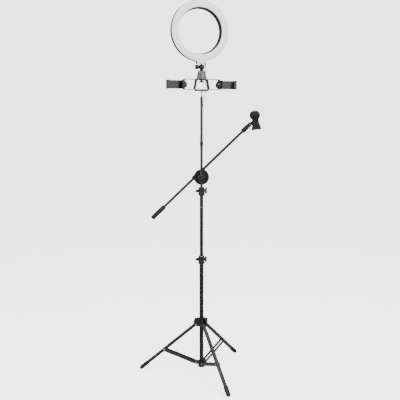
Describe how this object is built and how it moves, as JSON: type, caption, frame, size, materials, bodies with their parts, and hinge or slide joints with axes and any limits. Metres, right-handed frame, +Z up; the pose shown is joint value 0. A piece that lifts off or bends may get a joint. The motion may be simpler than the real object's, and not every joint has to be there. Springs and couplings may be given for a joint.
{
  "type": "ring light",
  "caption": "Small ring-shaped lamp on a ball joint above a folding tripod stand, with a flat bracket holding phone grips, a tilting boom arm with a microphone clip, and a thin power lead",
  "frame": {"origin": "on the floor, on the mast's axis", "axes": "+Z up the mast, +Y to the back, away from the side the lamp faces, +X to the right"},
  "size_m": [0.5625, 0.5114, 1.6827],
  "materials": {
    "black_steel": "satin",
    "black_alu": "satin",
    "zinc": "satin",
    "bracket_grey": "satin",
    "bracket_black": "satin",
    "black_plastic": "matte",
    "dark_grey_plastic": "matte",
    "black_gloss": "gloss",
    "rubber": "matte",
    "diffuser": "satin",
    "silver": "satin",
    "board": "satin",
    "chips": "satin",
    "lead_grey": "satin"
  },
  "bodies": {
    "root": {"lower_tube": "black_alu", "lower_hub": "black_plastic", "lower_collar": "black_plastic", "brace_pins": "zinc"},
    "runner": {"runner_hub": "black_plastic", "leg_pins": "zinc"},
    "lower_knob": {"lower_wing_knob": "black_plastic"},
    "mid": {"middle_tube": "black_alu", "upper_collar": "black_plastic"},
    "upper_knob": {"upper_wing_knob": "black_plastic"},
    "top": {"upper_tube": "black_alu", "mast_stud": "zinc"},
    "sleeve": {"mast_sleeve": "black_plastic"},
    "clamp": {"clamp_hub": "black_plastic", "clutch_bolt": "zinc"},
    "clutch": {"rod_sleeve": "black_plastic"},
    "clutch_knob": {"clutch_knob": "black_plastic"},
    "boom": {"boom_rod": "black_alu", "boom_grip": "rubber", "boom_ferrule": "black_plastic", "knuckle_pin": "zinc"},
    "clip": {"clip_stem": "black_plastic"},
    "front_jaw": {"clip_front_jaw": "black_gloss"},
    "rear_jaw": {"clip_rear_jaw": "black_gloss"},
    "head": {"bracket_loop": "bracket_grey", "bracket_stirrup": "bracket_black", "socket_plate": "bracket_black", "holder_washers": "black_plastic", "head_screw": "bracket_black", "riser": "silver", "ball_socket": "black_plastic", "ring_cord": "lead_grey", "controller": "black_plastic", "usb_cord": "lead_grey", "usb_hank": "lead_grey", "usb_plug": "lead_grey", "cord_tie": "black_plastic"},
    "socket_knob": {"socket_knob": "black_plastic"},
    "ring": {"ball_stud": "silver", "ring_housing": "black_plastic", "ring_diffuser": "diffuser", "led_board": "board", "led_chips": "chips", "housing_screws": "black_steel", "cable_gland": "black_plastic"},
    "leg_left": {"leg_left": "black_alu", "foot_left": "rubber"},
    "brace_left": {"brace_left": "black_steel"},
    "leg_rear": {"leg_rear": "black_alu", "foot_rear": "rubber"},
    "brace_rear": {"brace_rear": "black_steel"},
    "leg_front": {"leg_front": "black_alu", "foot_front": "rubber"},
    "brace_front": {"brace_front": "black_steel"},
    "left_knob": {"left_holder_knob": "dark_grey_plastic"},
    "left_holder": {"left_holder_body": "dark_grey_plastic"},
    "left_slider": {"left_holder_slider": "dark_grey_plastic"},
    "right_knob": {"right_holder_knob": "dark_grey_plastic"},
    "right_holder": {"right_holder_body": "dark_grey_plastic"},
    "right_slider": {"right_holder_slider": "dark_grey_plastic"}
  },
  "joints": [
    {"name": "runner_slide", "type": "slide", "parent": "root", "child": "runner", "axis": [0, 0, 1], "range_m": [0, 0.173]},
    {"name": "leg_left_fold", "type": "hinge", "parent": "runner", "child": "leg_left", "pos_m": [-0.02485, 0.00272, 0.231], "axis": [-0.1089, -0.9941, 0], "range_deg": [0, 49.33]},
    {"name": "brace_left_fold", "type": "hinge", "parent": "root", "child": "brace_left", "pos_m": [-0.02485, 0.00272, 0.045], "axis": [0.1089, 0.9941, 0], "range_deg": [0, 69.38]},
    {"name": "leg_rear_fold", "type": "hinge", "parent": "runner", "child": "leg_rear", "pos_m": [0.01478, 0.02016, 0.231], "axis": [-0.8064, 0.5913, 0], "range_deg": [0, 49.33]},
    {"name": "brace_rear_fold", "type": "hinge", "parent": "root", "child": "brace_rear", "pos_m": [0.01478, 0.02016, 0.045], "axis": [0.8064, -0.5913, 0], "range_deg": [0, 69.38]},
    {"name": "leg_front_fold", "type": "hinge", "parent": "runner", "child": "leg_front", "pos_m": [0.01007, -0.02288, 0.231], "axis": [0.9153, 0.4027, 0], "range_deg": [0, 49.33]},
    {"name": "brace_front_fold", "type": "hinge", "parent": "root", "child": "brace_front", "pos_m": [0.01007, -0.02288, 0.045], "axis": [-0.9153, -0.4027, 0], "range_deg": [0, 69.38]},
    {"name": "middle_slide", "type": "slide", "parent": "root", "child": "mid", "axis": [0, 0, 1], "range_m": [-0.25, 0.15]},
    {"name": "upper_slide", "type": "slide", "parent": "mid", "child": "top", "axis": [0, 0, 1], "range_m": [-0.01, 0.15]},
    {"name": "lower_knob_turn", "type": "hinge", "parent": "root", "child": "lower_knob", "pos_m": [0.0145, -0.00676, 0.541], "axis": [0.9063, -0.4226, 0], "range_deg": [0, 360]},
    {"name": "upper_knob_turn", "type": "hinge", "parent": "mid", "child": "upper_knob", "pos_m": [0.0145, -0.00676, 0.856], "axis": [0.9063, -0.4226, 0], "range_deg": [0, 360]},
    {"name": "clamp_slide", "type": "slide", "parent": "top", "child": "sleeve", "axis": [0, 0, 1], "range_m": [-0.008, 0.018]},
    {"name": "clamp_swivel", "type": "hinge", "parent": "sleeve", "child": "clamp", "pos_m": [0, 0, 0.9135], "axis": [0, 0, 1], "continuous": true},
    {"name": "boom_tilt", "type": "hinge", "parent": "clamp", "child": "clutch", "pos_m": [0, 0.041, 0.9135], "axis": [0, -1, 0], "range_deg": [-84, 16]},
    {"name": "clutch_knob_turn", "type": "hinge", "parent": "clamp", "child": "clutch_knob", "pos_m": [0, 0.0513, 0.9135], "axis": [0, 1, 0], "range_deg": [0, 360]},
    {"name": "boom_slide", "type": "slide", "parent": "clutch", "child": "boom", "axis": [0.7193, 0, 0.6947], "range_m": [-0.23, 0.17]},
    {"name": "clip_tilt", "type": "hinge", "parent": "boom", "child": "clip", "pos_m": [0.21699, 0.041, 1.14946], "axis": [0, 1, 0], "range_deg": [-45, 28]},
    {"name": "front_jaw_open", "type": "hinge", "parent": "clip", "child": "front_jaw", "pos_m": [0.2435, 0.041, 1.161], "axis": [0.9903, 0, 0.1392], "range_deg": [0, 12], "stiffness_Nm_per_rad": 0.6, "springref_deg": -5.73},
    {"name": "rear_jaw_open", "type": "hinge", "parent": "clip", "child": "rear_jaw", "pos_m": [0.2435, 0.041, 1.161], "axis": [0.9903, 0, 0.1392], "range_deg": [-12, 0], "stiffness_Nm_per_rad": 0.6, "springref_deg": 5.73},
    {"name": "head_pan", "type": "hinge", "parent": "top", "child": "head", "pos_m": [0, 0, 1.299], "axis": [0, 0, 1], "continuous": true},
    {"name": "ball_tilt", "type": "hinge", "parent": "head", "child": "ring", "pos_m": [0, 0, 1.404], "axis": [0.9455, 0.3256, 0], "range_deg": [-30, 30]},
    {"name": "socket_knob_turn", "type": "hinge", "parent": "head", "child": "socket_knob", "pos_m": [-0.01456, -0.00501, 1.4], "axis": [-0.9455, -0.3256, 0], "range_deg": [0, 360]},
    {"name": "left_holder_tilt", "type": "hinge", "parent": "head", "child": "left_holder", "pos_m": [-0.08226, -0.02832, 1.324], "axis": [0.9455, 0.3256, 0], "continuous": true},
    {"name": "left_knob_turn", "type": "hinge", "parent": "head", "child": "left_knob", "pos_m": [-0.07564, -0.02604, 1.324], "axis": [0.9455, 0.3256, 0], "range_deg": [0, 360]},
    {"name": "left_jaw_slide", "type": "slide", "parent": "left_holder", "child": "left_slider", "axis": [-0.9455, -0.3256, 0], "range_m": [0, 0.025], "stiffness_N_per_m": 80, "springref_m": -0.02},
    {"name": "right_holder_tilt", "type": "hinge", "parent": "head", "child": "right_holder", "pos_m": [0.08226, 0.02832, 1.324], "axis": [0.9455, 0.3256, 0], "continuous": true},
    {"name": "right_knob_turn", "type": "hinge", "parent": "head", "child": "right_knob", "pos_m": [0.07564, 0.02604, 1.324], "axis": [-0.9455, -0.3256, 0], "range_deg": [0, 360]},
    {"name": "right_jaw_slide", "type": "slide", "parent": "right_holder", "child": "right_slider", "axis": [0.9455, 0.3256, 0], "range_m": [0, 0.025], "stiffness_N_per_m": 80, "springref_m": -0.02}
  ],
  "couplings": [
    {"joint": "leg_left_fold", "follows": "runner_slide", "rad_per_m": 4.9664},
    {"joint": "brace_left_fold", "follows": "runner_slide", "rad_per_m": 6.9851},
    {"joint": "leg_rear_fold", "follows": "runner_slide", "rad_per_m": 4.9664},
    {"joint": "brace_rear_fold", "follows": "runner_slide", "rad_per_m": 6.9851},
    {"joint": "leg_front_fold", "follows": "runner_slide", "rad_per_m": 4.9664},
    {"joint": "brace_front_fold", "follows": "runner_slide", "rad_per_m": 6.9851},
    {"joint": "rear_jaw_open", "follows": "front_jaw_open", "ratio": -1}
  ]
}
